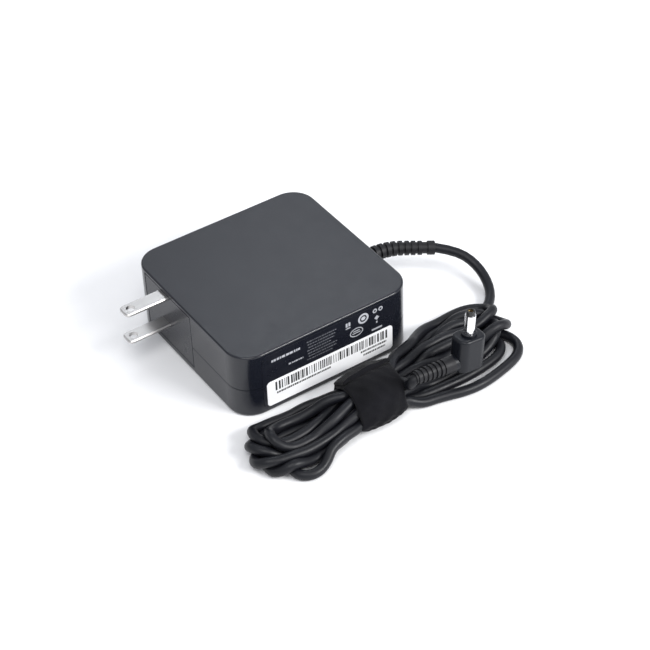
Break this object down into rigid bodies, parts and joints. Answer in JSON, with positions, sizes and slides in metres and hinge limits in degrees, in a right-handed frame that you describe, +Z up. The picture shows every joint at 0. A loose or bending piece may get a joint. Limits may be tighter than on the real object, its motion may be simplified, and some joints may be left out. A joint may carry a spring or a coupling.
{
  "type": "laptop power adapter",
  "caption": "square plug-in laptop power adapter with a pull-off mains plug head, and a low-voltage cord tied in a hank that ends in a right-angle barrel plug",
  "frame": {"origin": "centre of the case's underside, on the surface that the adapter stands on", "axes": "+Z up; the mains blades point to -X; the rating label faces -Y; the low-voltage cord leaves the +X side"},
  "size_m": [0.1365, 0.1129, 0.033],
  "materials": {
    "case_plastic": "satin",
    "head_plastic": "glossy",
    "label_film": "satin",
    "label_paper": "matte",
    "blade_nickel": "polished",
    "contact_brass": "polished",
    "inner_plastic": "matte",
    "board_laminate": "satin",
    "insulation_film": "matte",
    "fuse_ceramic": "matte",
    "disc_coating": "satin",
    "film_box": "satin",
    "ferrite": "matte",
    "enamelled_copper": "glossy",
    "winding_tape": "satin",
    "component_epoxy": "matte",
    "capacitor_sleeve": "glossy",
    "sheet_aluminium": "satin",
    "screw_steel": "satin",
    "wire_insulation": "satin",
    "boot_rubber": "satin",
    "cord_jacket": "satin",
    "strap_fabric": "matte",
    "plug_plastic": "satin",
    "barrel_nickel": "polished",
    "tip_plastic": "glossy"
  },
  "bodies": {
    "adapter": {"upper_case": "case_plastic", "lower_case": "case_plastic", "rating_label": "label_film", "barcode_label": "label_paper", "contact_pin_lower": "contact_brass", "contact_pin_upper": "contact_brass", "plug_contact": "contact_brass", "contact_carrier": "inner_plastic", "transformer_bobbin": "inner_plastic", "circuit_board": "board_laminate", "insulation_sheet": "insulation_film", "input_fuse": "fuse_ceramic", "inrush_thermistor": "disc_coating", "safety_capacitor": "disc_coating", "film_capacitor": "film_box", "choke_core": "ferrite", "transformer_core": "ferrite", "output_choke": "ferrite", "choke_windings": "enamelled_copper", "transformer_winding": "winding_tape", "bridge_rectifier": "component_epoxy", "switching_transistor": "component_epoxy", "output_rectifier": "component_epoxy", "feedback_coupler": "component_epoxy", "control_chip": "component_epoxy", "bulk_capacitor": "capacitor_sleeve", "output_capacitor_front": "capacitor_sleeve", "output_capacitor_rear": "capacitor_sleeve", "primary_heat_sink": "sheet_aluminium", "secondary_heat_sink": "sheet_aluminium", "heat_spreader": "sheet_aluminium", "transistor_screw": "screw_steel", "rectifier_screw": "screw_steel", "live_wire": "wire_insulation", "neutral_wire": "wire_insulation", "positive_wire": "wire_insulation", "negative_wire": "wire_insulation", "output_strain_relief": "boot_rubber", "plug_boot": "boot_rubber", "cord_lead": "cord_jacket", "cord_hank": "cord_jacket", "plug_tail": "cord_jacket", "cord_strap": "strap_fabric", "plug_housing": "plug_plastic", "plug_sleeve": "barrel_nickel", "plug_insulator": "tip_plastic"},
    "plug_head": {"plug_head_housing": "head_plastic", "blade_lower": "blade_nickel", "blade_upper": "blade_nickel"}
  },
  "joints": [
    {"name": "plug_head_slide", "type": "slide", "parent": "adapter", "child": "plug_head", "axis": [-1, 0, 0], "range_m": [0, 0.012]}
  ]
}
